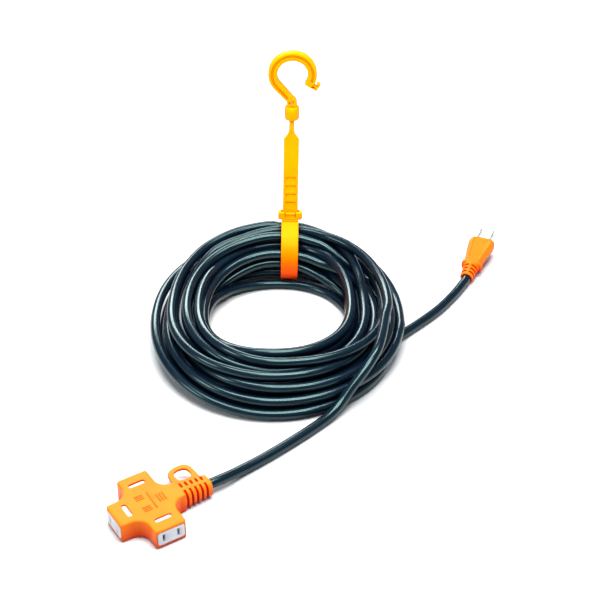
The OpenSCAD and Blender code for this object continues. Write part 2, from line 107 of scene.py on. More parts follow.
def make_floor():
    grid = bpy.data.meshes.new("floor")
    shape = bmesh.new()
    bmesh.ops.create_grid(shape, x_segments=8, y_segments=8, size=3.0)
    shape.to_mesh(grid)
    shape.free()
    floor = in_scene("floor", grid)
    floor.location = (0.07, 0.1, -0.0003)
    return floor


# ---------------------------------------------------------------- the cord's route

# Straight out of the connector, over the floor and up onto the coil
CONNECTOR_TAIL = [
    (-24.4, -153.9, 9.0), (-14.3, -147.4, 9.0), (-4.2, -141.0, 9.0), (2.6, -136.3, 8.6),
    (11.0, -129.0, 7.0), (20.0, -120.5, 5.4), (36.0, -107.0, 4.6), (53.0, -92.0, 4.6),
    (71.0, -75.0, 4.6), (87.0, -59.0, 5.0), (97.0, -48.5, 7.0), (105.0, -39.5, 12.0),
    (112.5, -31.5, 19.5), (122.0, -22.5, 28.0), (130.5, -12.5, 35.5), (137.0, -1.0, 40.5),
    (141.8, 17.0, 44.0), (145.5, 40.0, 47.0),
    (148.5, 56.0, 48.0), (147.5, 78.0, 48.5), (143.5, 98.0, 49.0), (133.0, 124.0, 50.0),
    (116.0, 146.5, 51.0), (92.0, 163.0, 52.0), (60.0, 172.5, 52.4), (28.0, 171.0, 50.0),
]
# Out from under the coil, over the floor and up into the plug
PLUG_TAIL = [
    (70.0, -21.5, 4.6), (92.0, -10.5, 4.6), (109.5, 6.0, 4.6), (123.0, 22.0, 4.6), (136.0, 37.5, 4.6),
    (149.0, 53.0, 4.6), (162.0, 66.0, 4.6), (177.0, 81.5, 4.6), (192.0, 97.5, 4.6),
    (204.0, 112.0, 4.6), (214.0, 126.5, 4.6), (222.0, 139.0, 4.9), (228.0, 149.3, 5.5),
    (231.3, 154.6, 6.0), (233.6, 159.9, 6.7), (236.9, 168.2, 8.0), (240.3, 176.4, 9.2),
]

# Where the strands cross each quarter of the coil: outward from its middle line, and up
FRONT_SLOTS = [
    (22.6, 4.6), (17.8, 13.0), (13.0, 4.6), (10.5, 19.5), (4.0, 4.6), (7.5, 11.8), (0.5, 27.0),
    (-5.0, 4.6), (-1.5, 13.0), (-9.0, 32.0), (-14.0, 4.6), (-10.5, 14.5), (-9.0, 23.0),
    (-22.0, 37.0), (-19.5, 12.8), (-18.0, 27.5),
]
LEFT_SLOTS = [
    (11.0, 4.6), (2.0, 4.6), (-7.0, 4.6), (-16.5, 4.6), (17.5, 12.0), (7.0, 12.6), (-2.5, 12.8),
    (-12.0, 13.0), (21.5, 20.5), (12.5, 21.0), (2.5, 21.5), (-20.5, 16.5), (6.0, 30.0),
    (-5.0, 33.5), (-14.5, 34.5), (-22.5, 28.0),
]
BACK_SLOTS = [
    (LOOP_ROOM * math.cos(math.radians(a)), HANG_AT[2] + LOOP_ROOM * math.sin(math.radians(a)))
    for a in (8, 37, 66, 124, 153, 182, 206, 230, 256, 284, 312, 340)
] + [(9.0, 36.0), (-7.5, 37.0), (1.0, 20.5)]
FRONT_OF_LOOP = (-23.3, 4.6)      # the last turn, which lies on the floor in front of the strap
RIGHT_SLOTS = [
    (21.0, 4.6), (3.0, 4.6), (-6.5, 4.6), (-16.0, 4.6), (17.0, 13.0), (7.5, 12.6),
    (-2.0, 12.8), (-11.5, 13.0), (-20.5, 13.5), (12.0, 21.0), (2.5, 21.5), (-7.0, 21.5),
    (-17.0, 23.5), (6.5, 30.0), (-22.0, 33.5),
]
EXIT_SLOT = (-5.0, 4.6)


def coil_point(angle, out, up):
    """A point of the coil, its angle in degrees from +X towards +Y."""
    a = math.radians(angle)
    stretch = COIL_STRAIGHT * math.tanh(2.5 * math.sin(a)) / math.tanh(2.5)
    return np.array([
        COIL_AT[0] + (COIL_R + out) * math.cos(a),
        COIL_AT[1] + (COIL_R + out) * math.sin(a) + stretch,
        up,
    ])


def matched(slots, places, luck, wander):
    """Gives each turn the slot nearest to where it was, some of them a little astray."""
    wanted = [(p[0] + luck.gauss(0, wander), p[1] + luck.gauss(0, wander)) for p in places]
    pairs = sorted(
        ((w[0] - s[0]) ** 2 + (w[1] - s[1]) ** 2, i, j)
        for i, w in enumerate(wanted) for j, s in enumerate(slots)
    )
    taken, free = {}, set(range(len(slots)))
    for _, i, j in pairs:
        if i not in taken and j in free:
            taken[i] = j
            free.discard(j)
    chosen = [taken[i] for i in range(len(places))]
    better = True
    while better:
        better = False
        for i in range(len(chosen)):
            for k in range(i):
                a, b = slots[chosen[i]], slots[chosen[k]]
                now = math.dist(wanted[i], a) ** 2 + math.dist(wanted[k], b) ** 2
                then = math.dist(wanted[i], b) ** 2 + math.dist(wanted[k], a) ** 2
                if then < now - 1e-9:
                    chosen[i], chosen[k] = chosen[k], chosen[i]
                    better = True
    return [slots[j] for j in chosen]


def catmull(points, steps):
    """A smooth line through the points, with the same number of steps in each span."""
    p = np.asarray(points, dtype=float)
    padded = np.vstack([2 * p[0] - p[1], p, 2 * p[-1] - p[-2]])
    out = []
    for i in range(len(p) - 1):
        a, b, c, d = padded[i], padded[i + 1], padded[i + 2], padded[i + 3]
        for s in range(steps):
            t = s / steps
            out.append(0.5 * (2 * b + (c - a) * t + (2 * a - 5 * b + 4 * c - d) * t ** 2
                              + (3 * b - a - 3 * c + d) * t ** 3))
    out.append(p[-1])
    return np.array(out)


def spaced(line, gap):
    """The same line with its points an equal distance apart."""
    length = np.concatenate([[0.0], np.cumsum(np.linalg.norm(np.diff(line, axis=0), axis=1))])
    count = max(int(round(length[-1] / gap)), 2)
    at = np.linspace(0.0, length[-1], count + 1)
    return np.stack([np.interp(at, length, line[:, k]) for k in range(3)], axis=1)


def wound_route():
    """The whole cord before it settles: tail, turns, tail."""
    luck = random.Random(LUCK)
    order = sorted(BACK_SLOTS, key=lambda s: -s[1])
    turn_slots = {90: order + [FRONT_OF_LOOP]}
    turn_slots[180] = matched(LEFT_SLOTS, [(s[0], s[1] * 0.62) for s in turn_slots[90]], luck, 5.0)
    turn_slots[270] = matched(FRONT_SLOTS, turn_slots[180], luck, 4.0)
    ending = turn_slots[270].index(EXIT_SLOT)
    turn_slots[270][ending], turn_slots[270][-1] = turn_slots[270][-1], EXIT_SLOT
    turn_slots[0] = matched(RIGHT_SLOTS, turn_slots[270][:-1], luck, 5.0)
    inner = turn_slots[0].index((-16.0, 4.6))
    turn_slots[0][inner], turn_slots[0][-1] = turn_slots[0][-1], turn_slots[0][inner]
    knots = []
    for k in range(TURNS):
        for angle in (90, 180, 270):
            knots.append((360 * k + angle, turn_slots[angle][k]))
        if k < TURNS - 1:
            knots.append((360 * (k + 1), turn_slots[0][k]))
    angles = np.array([a for a, _ in knots], dtype=float)
    offsets = np.array([o for _, o in knots], dtype=float)
    first, last = angles[0] + 40.0, angles[-1] + 1.0
    at = np.arange(first, last, 3.0)
    index = np.clip(np.searchsorted(angles, at) - 1, 0, len(angles) - 2)
    share = np.clip((at - angles[index]) / (angles[index + 1] - angles[index]), 0.0, 1.0)
    share = share * share * (3.0 - 2.0 * share)
    mixed = offsets[index] * (1 - share[:, None]) + offsets[index + 1] * share[:, None]
    middle = [coil_point(a, m[0], m[1]) for a, m in zip(at, mixed)]
    knotted = catmull(np.array(CONNECTOR_TAIL + [tuple(m) for m in middle[::3]] + PLUG_TAIL), 8)
    return spaced(knotted, CORD_STEP)


def limited(p, free, reach, sag):
    """Opens any bend whose middle stands further than sag from the chord of its two neighbours."""
    a, b, c = p[:-2 * reach], p[reach:-reach], p[2 * reach:]
    off = 0.5 * (a + c) - b
    size = np.linalg.norm(off, axis=1)[:, None] + 1e-9
    pull = off * np.clip(1.0 - sag / size, 0.0, 1.0)
    move = np.zeros_like(p)
    move[reach:-reach] += 0.5 * pull
    move[:-2 * reach] -= 0.25 * pull
    move[2 * reach:] -= 0.25 * pull
    return p + 0.6 * move * free


def evened(p, free, gap):
    """Draws neighbouring points towards an equal distance apart."""
    d = np.diff(p, axis=0)
    size = np.linalg.norm(d, axis=1)[:, None] + 1e-9
    pull = 0.5 * d * (1.0 - gap / size)
    move = np.zeros_like(p)
    move[:-1] += pull
    move[1:] -= pull
    return p + 0.5 * move * free


def crossings_lifted(p, free, pair_a, pair_b):
    """Where two strands are stuck in each other, how far one has to rise to lie on the other."""
    lift = np.zeros(len(p))
    steps = np.arange(len(p))
    far = np.linalg.norm(p[pair_a] - p[pair_b], axis=1)
    done = []
    for k in np.argsort(far):
        if far[k] > 7.8:
            break
        a, b = int(pair_a[k]), int(pair_b[k])
        upper = a if p[a, 2] * free[a] > p[b, 2] * free[b] else b
        if any(abs(upper - other) < 12 for other in done):
            continue
        done.append(upper)
        hump = (9.4 - far[k]) * np.exp(-((steps - upper) / 6.0) ** 2)
        lift = np.maximum(lift, hump)
    return lift * free


def settled(line, rounds):
    """Lets the strands push each other apart, lie on the floor and stay in the strap's loop."""
    p = line.copy()
    home = line.copy()
    count = len(p)
    steps = np.arange(count)
    held_first = int(HELD_FIRST / CORD_STEP)
    held_last = count - int(HELD_LAST / CORD_STEP)
    last_turn = count - int(LAST_TURN / CORD_STEP)
    edge = np.minimum(np.clip((steps - held_first) / 12.0, 0, 1),
                      np.clip((held_last - steps) / 12.0, 0, 1))
    free = edge[:, None]
    gap = 2 * CORD_R + 0.12
    pair_a = pair_b = None
    for turn in range(rounds):
        if turn % 6 == 0:
            sq = (p * p).sum(axis=1)
            apart = sq[:, None] + sq[None, :] - 2.0 * (p @ p.T)
            a, b = np.nonzero(apart < (gap + 6.0) ** 2)
            keep = b - a > 6
            pair_a, pair_b = a[keep], b[keep]
        ease = turn / rounds
        if turn in (rounds // 2, rounds * 3 // 4):
            lift = crossings_lifted(p, free[:, 0], pair_a, pair_b)
            p[:, 2] += lift
            home[:, 2] += lift
        p[:, 2] -= 0.02 * free[:, 0] * (1.0 - ease)
        p += 0.012 * free * (home - p) * max(0.0, 1.0 - 1.6 * ease)
        # bending: a strand that is pushed aside takes its neighbours along
        shift = p - home
        for r in (2, 5):
            around = 0.5 * (shift[: count - 2 * r] + shift[2 * r:])
            own = shift[r: count - r]
            own += (0.42 - 0.3 * ease) * free[r: count - r] * (around - own)
        p = home + shift
        for _ in range(2):
            p = evened(p, free, CORD_STEP)
            for reach, sag in ((1, 0.40), (2, 1.5), (4, 6.0)):
                p = limited(p, free, reach, sag)
            d = p[pair_a] - p[pair_b]
            far = np.sqrt((d * d).sum(axis=1)) + 1e-9
            close = far < gap
            a, b = pair_a[close], pair_b[close]
            push = d[close] * (0.5 * (gap - far[close]) / far[close])[:, None]
            move = np.zeros_like(p)
            for k in range(3):
                move[:, k] = np.bincount(a, push[:, k], count) - np.bincount(b, push[:, k], count)
            hits = np.bincount(a, minlength=count) + np.bincount(b, minlength=count)
            p += move * free / np.maximum(hits, 1.6)[:, None] * 1.6
            p[:, 2] = np.maximum(p[:, 2], LYING)
            # the strap's loop, whose hold fades at its two sides
            aside = np.abs(p[:, 0] - HANG_AT[0])
            inside = (aside < 22.0) & (p[:, 1] > BELT_Y) & (steps < last_turn)
            dy, dz = p[:, 1] - HANG_AT[1], p[:, 2] - HANG_AT[2]
            r = np.sqrt(dy * dy + dz * dz) + 1e-9
            room = LOOP_ROOM + np.clip(aside - 9.5, 0, None) * 0.35
            scale = np.where(inside & (r > room), room / r, 1.0)
            outside = (aside < 12.0) & (p[:, 1] > BELT_Y) & (steps >= last_turn) & (r < LOOP_CLEAR)
            scale = np.where(outside, LOOP_CLEAR / r, scale)
            p[:, 1] = HANG_AT[1] + dy * scale
            p[:, 2] = HANG_AT[2] + dz * scale
            p[:, 2] = np.maximum(p[:, 2], LYING)
    return p


def tube_mesh(name, line, radius, sides):
    """A round tube along a line in millimetres, its ends closed."""
    p = np.asarray(line) * MM
    count = len(p)
    way = np.gradient(p, axis=0)
    way /= np.linalg.norm(way, axis=1)[:, None]
    side = np.cross(way[0], (0.0, 0.0, 1.0))
    side /= np.linalg.norm(side)
    verts = []
    for i in range(count):
        side = side - way[i] * side.dot(way[i])
        side /= np.linalg.norm(side)
        up = np.cross(way[i], side)
        for k in range(sides):
            a = 2 * math.pi * k / sides
            verts.append(tuple(p[i] + radius * MM * (math.cos(a) * side + math.sin(a) * up)))
    faces = []
    for i in range(count - 1):
        for k in range(sides):
            n = (k + 1) % sides
            faces.append((i * sides + k, i * sides + n, (i + 1) * sides + n, (i + 1) * sides + k))
    faces.append(tuple(range(sides - 1, -1, -1)))
    faces.append(tuple((count - 1) * sides + k for k in range(sides)))
    mesh = bpy.data.meshes.new(name)
    mesh.from_pydata(verts, [], faces)
    uv = mesh.uv_layers.new(name="along")
    for face in mesh.polygons:
        face.use_smooth = True
        for loop, vert in zip(face.loop_indices, face.vertices):
            uv.data[loop].uv = ((vert // sides) / count, (vert % sides) / sides)
    return in_scene(name, mesh)


# ---------------------------------------------------------------- mesh tools, in millimetres

def turned(angle, axis, at=(0.0, 0.0, 0.0)):
    """The matrix that turns by an angle in degrees and then moves to a place."""
    return Matrix.Translation(at) @ Matrix.Rotation(math.radians(angle), 4, axis)


def added(name, shape):
    """Turns a bmesh into an object in the scene."""
    bmesh.ops.recalc_face_normals(shape, faces=shape.faces)
    mesh = bpy.data.meshes.new(name)
    shape.to_mesh(mesh)
    shape.free()
    return in_scene(name, mesh)


def baked(piece):
    """Applies a piece's modifiers to its mesh."""
    graph = bpy.context.evaluated_depsgraph_get()
    mesh = bpy.data.meshes.new_from_object(piece.evaluated_get(graph))
    piece.modifiers.clear()
    old, piece.data = piece.data, mesh
    bpy.data.meshes.remove(old)
    return piece


def joined(name, parts):
    """One object out of several, which stay separate shells inside it."""
    whole = bmesh.new()
    for part in parts:
        whole.from_mesh(part.data)
        bpy.data.objects.remove(part)
    return added(name, whole)


def moulded_form(piece, voxel, smooth, keep=1.0):
    """Melts the shells of a piece into one skin, rounds it a little and thins it out."""
    grid = piece.modifiers.new("grid", "REMESH")
    grid.mode = "VOXEL"
    grid.voxel_size = voxel
    soft = piece.modifiers.new("soft", "SMOOTH")
    soft.factor = 0.5
    soft.iterations = smooth
    if keep < 1.0:
        thin = piece.modifiers.new("thin", "DECIMATE")
        thin.ratio = keep
    return baked(piece)


def carved(piece, cutters):
    """Takes the cutters away from a piece."""
    tool = joined("cutters", cutters)
    cut = piece.modifiers.new("cut", "BOOLEAN")
    cut.operation = "DIFFERENCE"
    cut.solver = "EXACT"
    cut.use_self = True
    cut.object = tool
    baked(piece)
    bpy.data.objects.remove(tool)
    return piece


def placed(piece, matrix, crease=None):
    """Moves a piece built in millimetres about its own origin to its place in the frame."""
    piece.data.transform(Matrix.Scale(MM, 4) @ matrix)
    for face in piece.data.polygons:
        face.use_smooth = True
    if crease is not None:
        piece.data.set_sharp_from_angle(angle=math.radians(crease))
    return piece


def prism(outline, low, high, round_by=0.0, steps=3, name="prism"):
    """An outline in X and Y, raised from low to high, with its two rims rounded."""
    shape = bmesh.new()
    base = shape.faces.new([shape.verts.new((x, y, low)) for x, y in outline])
    raised = bmesh.ops.extrude_face_region(shape, geom=[base])
    top = [v for v in raised["geom"] if isinstance(v, bmesh.types.BMVert)]
    bmesh.ops.translate(shape, verts=top, vec=(0, 0, high - low))
    if round_by:
        rims = [e for e in shape.edges if abs(e.verts[0].co.z - e.verts[1].co.z) < 1e-6]
        bmesh.ops.bevel(shape, geom=rims, offset=round_by, segments=steps, profile=0.5,
                        affect="EDGES", clamp_overlap=True)
    return added(name, shape)


def arc(cx, cy, r, start, stop, steps=10):
    return [(cx + r * math.cos(math.radians(start + (stop - start) * i / steps)),
             cy + r * math.sin(math.radians(start + (stop - start) * i / steps)))
            for i in range(steps + 1)]


def rounded_box(w, h, r, steps=6, cx=0.0, cy=0.0):
    """The outline of a rectangle with round corners."""
    out = []
    for x, y, start in ((1, 1, 0), (-1, 1, 90), (-1, -1, 180), (1, -1, 270)):
        out += arc(cx + x * (w / 2 - r), cy + y * (h / 2 - r), r, start, start + 90, steps)
    return out


def lathe(profile, sides=72):
    """Turns a profile of (x, radius) points round the X axis. It starts and ends on the axis."""
    shape = bmesh.new()
    rings = []
    for x, r in profile:
        if r < 1e-6:
            rings.append([shape.verts.new((x, 0, 0))])
        else:
            rings.append([shape.verts.new((x, r * math.cos(2 * math.pi * k / sides),
                                           r * math.sin(2 * math.pi * k / sides)))
                          for k in range(sides)])
    for a, b in zip(rings, rings[1:]):
        for k in range(sides):
            n = (k + 1) % sides
            if len(a) == 1:
                shape.faces.new((a[0], b[k], b[n]))
            elif len(b) == 1:
                shape.faces.new((a[k], b[0], a[n]))
            else:
                shape.faces.new((a[k], b[k], b[n], a[n]))
    return added("lathe", shape)


def banded(shape, a, b):
    """Joins two rings of points with a band of faces."""
    for k in range(len(a)):
        n = (k + 1) % len(a)
        shape.faces.new((a[k], b[k], b[n], a[n]))


def loft(rings):
    """Skins a row of closed rings of points, with flat ends."""
    shape = bmesh.new()
    made = [[shape.verts.new(p) for p in ring] for ring in rings]
    for a, b in zip(made, made[1:]):
        banded(shape, a, b)
    shape.faces.new(made[0])
    shape.faces.new(made[-1])
    return added("loft", shape)


def block(low, high, round_by=0.0, steps=2):
    """A box from corner to corner with round edges."""
    shape = bmesh.new()
    bmesh.ops.create_cube(shape, size=1.0)
    size = [b - a for a, b in zip(low, high)]
    bmesh.ops.scale(shape, vec=size, verts=shape.verts)
    if round_by:
        bmesh.ops.bevel(shape, geom=list(shape.edges), offset=round_by, segments=steps,
                        profile=0.5, affect="EDGES")
    middle = [(a + b) / 2 for a, b in zip(low, high)]
    bmesh.ops.translate(shape, vec=middle, verts=shape.verts)
    return added("block", shape)


def moved(piece, matrix):
    """Moves a piece's mesh, and keeps its faces outward if the move mirrors it."""
    piece.data.transform(matrix)
    if matrix.to_3x3().determinant() < 0:
        piece.data.flip_normals()
    return piece


def squircle(x, half_y, half_z, power, sides=64, z=0.0):
    """A ring across the X axis between an ellipse (2) and a rectangle (large power)."""
    ring = []
    for k in range(sides):
        a = 2 * math.pi * k / sides
        c, s = math.cos(a), math.sin(a)
        ring.append((x, half_y * math.copysign(abs(c) ** (2 / power), c),
                     z + half_z * math.copysign(abs(s) ** (2 / power), s)))
    return ring


def grooved(start, stop, r_start, r_stop, grooves, width, depth):
    """Profile points of a cone along X with round-bottomed grooves."""
    def cone(x):
        return r_start + (r_stop - r_start) * (x - start) / (stop - start)
    points = [(start, cone(start))]
    for g in grooves:
        points += [(g - width / 2 - 0.25, cone(g - width / 2)), (g - width / 2, cone(g) - 0.35)]
        points += [(g - width / 2 + 0.1, cone(g) - depth + 0.3), (g - width / 4, cone(g) - depth)]
        points += [(g + width / 4, cone(g) - depth), (g + width / 2 - 0.1, cone(g) - depth + 0.3)]
        points += [(g + width / 2, cone(g) - 0.35), (g + width / 2 + 0.25, cone(g + width / 2))]
    points.append((stop, cone(stop)))
    return points


# ---------------------------------------------------------------- connector

CONN_AT = turned(32.5, "Z", (-49.7, -170.0, 0.0))
OUTLETS = {
    "end": Matrix.Translation((-33.0, 0, 0)),
    "left": turned(-90, "Z", (0, 34.5, 0)),
    "right": turned(90, "Z", (0, -34.5, 0)),
}
CONN_H = 18.0
MID_Z = 9.0


def cross_outline():
    half, end, side, neck = 13.5, 33.0, 34.5, 9.2
    corner = 2.4
    points = [(27.0, -neck), (27.0, neck)]
    points += arc(half + 11, neck + 11, 11, 270, 180)
    points += arc(half - corner, side - corner, corner, 0, 90, 4)
    points += arc(-half + corner, side - corner, corner, 90, 180, 4)
    points += arc(-half - 11, half + 11, 11, 0, -90)
    points += arc(-end + corner, half - corner, corner, 90, 180, 4)
    points += arc(-end + corner, -half + corner, corner, 180, 270, 4)
    points += arc(-half - 11, -half - 11, 11, 90, 0)
    points += arc(-half + corner, -side + corner, corner, 180, 270, 4)
    points += arc(half - corner, -side + corner, corner, 270, 360, 4)
    points += arc(half + 11, -neck - 11, 11, 180, 90)
    return points


def insert_ring(x, grow):
    """The outlet's outline across X, about the middle of its height."""
    return [(x, a, MID_Z + b) for a, b in rounded_box(23.6 + 2 * grow, 12.8 + 2 * grow, 2.0 + grow)]


def make_connector():
    cross = prism(cross_outline(), 0.0, CONN_H, round_by=1.4, steps=4)
    profile = [(14.0, 7.0), (14.4, 8.0), (16.0, 8.7), (20.0, 8.95)]
    profile += grooved(25.0, 50.4, 9.0, 7.55, (28.4, 33.1, 37.8, 42.4, 46.9), 1.75, 2.1)
    profile += [(51.4, 7.4), (52.1, 6.9), (52.5, 6.0)]
    relief = loft([squircle(x, 1.07 * r, r, 3.3, 88, MID_Z) for x, r in profile])
    tops = [(x, 9.0 + (7.55 - 9.0) * (x - 25.0) / 25.4 - 0.12) for x in (26.0, 32.0, 40.0, 48.6)]
    bridges = [loft([[(x, y, MID_Z + up * z) for y, z in
                      ((-3.1, 5.0), (0.5, 5.0), (0.5, top - 0.35), (-0.4, top - 0.05),
                       (-2.2, top - 0.05), (-3.1, top - 0.35))] for x, top in tops])
               for up in (1, -1)]
    eye_outline = [(24.6, 4.0), (26.4, 16.0), (27.8, 24.2), (29.4, 27.8), (32.2, 30.0), (36.6, 31.2),
                   (42.0, 31.4), (45.6, 30.5), (48.2, 28.2), (49.6, 24.8), (49.9, 19.0), (50.4, 12.0),
                   (50.9, 4.0)]
    eye = prism(eye_outline[::-1], MID_Z - 0.3, MID_Z + 2.3, round_by=0.8)
    piece = joined("connector_body", [cross, relief, eye] + bridges)
    hole = [(32.4, 22.4), (32.2, 17.8), (33.7, 15.0), (36.5, 14.0), (40.5, 13.9), (43.6, 14.8),
            (45.4, 17.2), (45.6, 21.0), (44.8, 24.4), (42.2, 26.4), (37.6, 26.8), (34.2, 25.6)]
    cuts = [prism(hole[::-1], MID_Z - 6, MID_Z + 6)]
    for x, y, turn in ((-20.8, 0.0, 90), (-0.6, 23.3, 0), (-0.6, -22.4, 0)):
        slot = prism(rounded_box(14.4, 4.0, 1.95), CONN_H - 2.7, CONN_H + 3)
        cuts.append(moved(slot, turned(turn, "Z", (x, y, 0))))
    for place in OUTLETS.values():
        pocket = loft([insert_ring(-2.0, 0.1), insert_ring(7.1, 0.1)])
        cuts.append(moved(pocket, place))
    # the carrier's room and the cord's bore
    room = [(-26.05, -10.92), (-10.92, -10.92), (-10.92, -27.55), (10.92, -27.55), (10.92, -10.92),
            (14.62, -9.72), (17.92, -7.82), (17.92, 7.82), (14.62, 9.72), (10.92, 10.92), (10.92, 27.55),
            (-10.92, 27.55), (-10.92, 10.92), (-26.05, 10.92)]
    cuts.append(prism(room, 2.58, 15.42))
    bore = lathe([(16.5, 0.0), (16.5, 4.6), (58.0, 4.6), (58.0, 0.0)])
    cuts.append(moved(bore, Matrix.Translation((0, 0, MID_Z))))
    carved(piece, cuts)
    moulded_form(piece, 0.36, 4, 0.3)
    return placed(piece, CONN_AT)


def make_marks():
    """Plain raised bars in the middle of the top: a line across, and three groups."""
    bars = [((1.2, 0.1), 20.6, 1.4, 88)]
    for x in (6.6, 9.2, 11.8):
        bars.append(((x, -0.4), 9.6, 1.3, 90))
    for y in (9.6, 7.4, 5.2):
        bars.append(((-6.5, y), 7.0, 1.25, 0))
    for y in (-4.6, -6.8, -9.0):
        bars.append(((-6.2, y), 7.2, 1.25, 0))
    made = []
    for (x, y), length, width, turn in bars:
        bar = prism(rounded_box(length, width, width / 2 - 0.02, 5), CONN_H - 0.5, CONN_H + 0.4,
                    round_by=0.25)
        made.append(moved(bar, turned(turn, "Z", (x, y, 0))))
    return placed(joined("connector_marks", made), CONN_AT)


def make_insert(which):
    plate = loft([[(x, y * k, MID_Z + (z - MID_Z) * k) for _, y, z in insert_ring(0, 0.0)]
                  for x, k in ((0.0, 0.965), (0.12, 0.982), (0.4, 0.993), (0.8, 0.996), (7.0, 0.996))])
    slots = []
    for y in (-6.35, 6.35):
        slots.append(block((-1, y - 1.0, MID_Z - 3.6), (9, y + 1.0, MID_Z + 3.6), 0.45, 3))
        slots.append(loft([[(x, y + a, MID_Z + b) for a, b in rounded_box(w, h, 0.9)]
                           for x, w, h in ((-0.5, 3.4, 8.6), (0.0, 2.9, 8.1), (0.7, 2.05, 7.25))]))
    carved(plate, slots)
    plate.name = "outlet_face_" + which
    return placed(plate, CONN_AT @ OUTLETS[which])


# ---------------------------------------------------------------- plug

PLUG_AT = turned(68, "Z", (233.6, 159.9, 6.7)) @ turned(-8, "Y")


def faceted(x, half_y, half_z, shoulder, r):
    """A ring across X: flat top and bottom, long sloping shoulders and an upright side."""
    side = half_z * 0.45
    flat = half_y - shoulder
    corners = [(half_y, -side), (half_y, side), (flat, half_z), (-flat, half_z),
               (-half_y, side), (-half_y, -side), (-flat, -half_z), (flat, -half_z)]
    ring = []
    for i, (y, z) in enumerate(corners):
        py, pz = corners[i - 1]
        ny, nz = corners[(i + 1) % 8]
        to_last = math.hypot(py - y, pz - z)
        to_next = math.hypot(ny - y, nz - z)
        back = min(r, to_last * 0.45) / to_last
        on = min(r, to_next * 0.45) / to_next
        a = (y + (py - y) * back, z + (pz - z) * back)
        b = (y + (ny - y) * on, z + (nz - z) * on)
        for s in range(4):
            u = s / 3.0
            ring.append((x, (1 - u) ** 2 * a[0] + 2 * u * (1 - u) * y + u * u * b[0],
                         (1 - u) ** 2 * a[1] + 2 * u * (1 - u) * z + u * u * b[1]))
    return ring


def make_plug():
    body = loft([faceted(*ring) for ring in (
        (20.5, 8.2, 5.6, 2.2, 1.2), (22.6, 8.5, 5.9, 2.4, 1.0), (24.6, 9.0, 6.2, 2.6, 0.8),
        (30.0, 9.8, 6.3, 3.0, 0.6), (38.0, 11.1, 6.3, 3.2, 0.6), (46.0, 12.3, 6.3, 3.2, 0.6),
        (50.5, 12.9, 6.3, 3.2, 0.7), (54.0, 13.1, 6.25, 3.2, 0.9), (56.6, 12.9, 6.1, 3.2, 1.2),
        (58.4, 12.3, 5.75, 3.2, 1.6), (59.5, 11.4, 5.2, 3.2, 1.8), (60.0, 10.4, 4.6, 3.0, 1.8))])
    flange = loft([squircle(*ring) for ring in (
        (17.6, 7.4, 5.4, 2.6), (17.8, 9.2, 6.3, 2.7), (18.3, 10.4, 6.85, 2.8),
        (19.0, 10.75, 7.0, 2.9), (20.6, 10.75, 7.0, 2.9), (21.3, 10.4, 6.85, 2.9),
        (21.8, 9.5, 6.3, 3.2), (22.0, 8.0, 5.4, 3.4))])
    profile = [(0.0, 0.0), (0.0, 5.6), (0.3, 6.3), (1.1, 6.62)]
    profile += grooved(1.4, 17.4, 6.65, 7.75, (3.9, 8.6, 13.3), 2.3, 2.1)
    profile += [(18.5, 7.0), (18.5, 0.0)]
    relief = lathe(profile)
    tops = [(x, 6.65 + 1.1 * (x - 1.4) / 16.0 - 0.1) for x in (2.0, 8.0, 14.0, 17.6)]
    bridges = [loft([[(x, y, up * z) for y, z in
                      ((-1.3, 4.0), (1.3, 4.0), (1.3, top - 0.4), (0.7, top), (-0.7, top),
                       (-1.3, top - 0.4))] for x, top in tops])
               for up in (1, -1)]
    piece = joined("plug_overmould", [body, flange, relief] + bridges)
    panel = [(26.0, -5.4), (38.0, -6.7), (50.0, -8.0), (53.6, -7.9), (55.6, -7.0), (56.6, -5.0),
             (56.6, 5.0), (55.6, 7.0), (53.6, 7.9), (50.0, 8.0), (38.0, 6.7), (26.0, 5.4)]
    cuts = [prism(panel, 5.85, 9.0), prism(panel, -9.0, -5.85),
            lathe([(-2.0, 0.0), (-2.0, 4.6), (18.0, 4.6), (18.0, 0.0)]),
            block((17.5, -4.2, -2.0), (36.0, 4.2, 2.0)), block((25.5, -8.0, -3.6), (46.5, 8.0, 3.6)),
            block((46.0, -9.4, -4.4), (62.0, 9.4, 4.4))]
    carved(piece, cuts)
    moulded_form(piece, 0.33, 3, 0.4)
    return placed(piece, PLUG_AT)


def make_blade(name, y):
    """A flat blade with a round tip, softened edges and its hole."""
    outline = [(39.0, -3.15), (73.85, -3.15)] + arc(73.85, 0.0, 3.15, -78, 78, 12)
    outline += [(73.85, 3.15), (39.0, 3.15)]
    piece = prism(outline, -0.75, 0.75, round_by=0.28, name=name)
    carved(piece, [prism(arc(71.7, 0, 1.5, 0, 348.75, 31), -2, 2)])
    moved(piece, turned(90, "X", (0, y, 0)))
    return placed(piece, PLUG_AT)


# ---------------------------------------------------------------- hanger

HANGER = turned(1.1, "Y", HANG_AT)


def upright(piece):
    """Turns a prism drawn in X and Y so that its outline stands in X and Z."""
    return moved(piece, turned(90, "X"))


def loop_width(a):
    """The strap is wide at the front and a little narrower behind. a runs from +Y over the top."""
    front = 0.5 - 0.5 * math.tanh(math.cos(a) * 3.0)
    return 7.3 + (8.3 - 7.3) * front


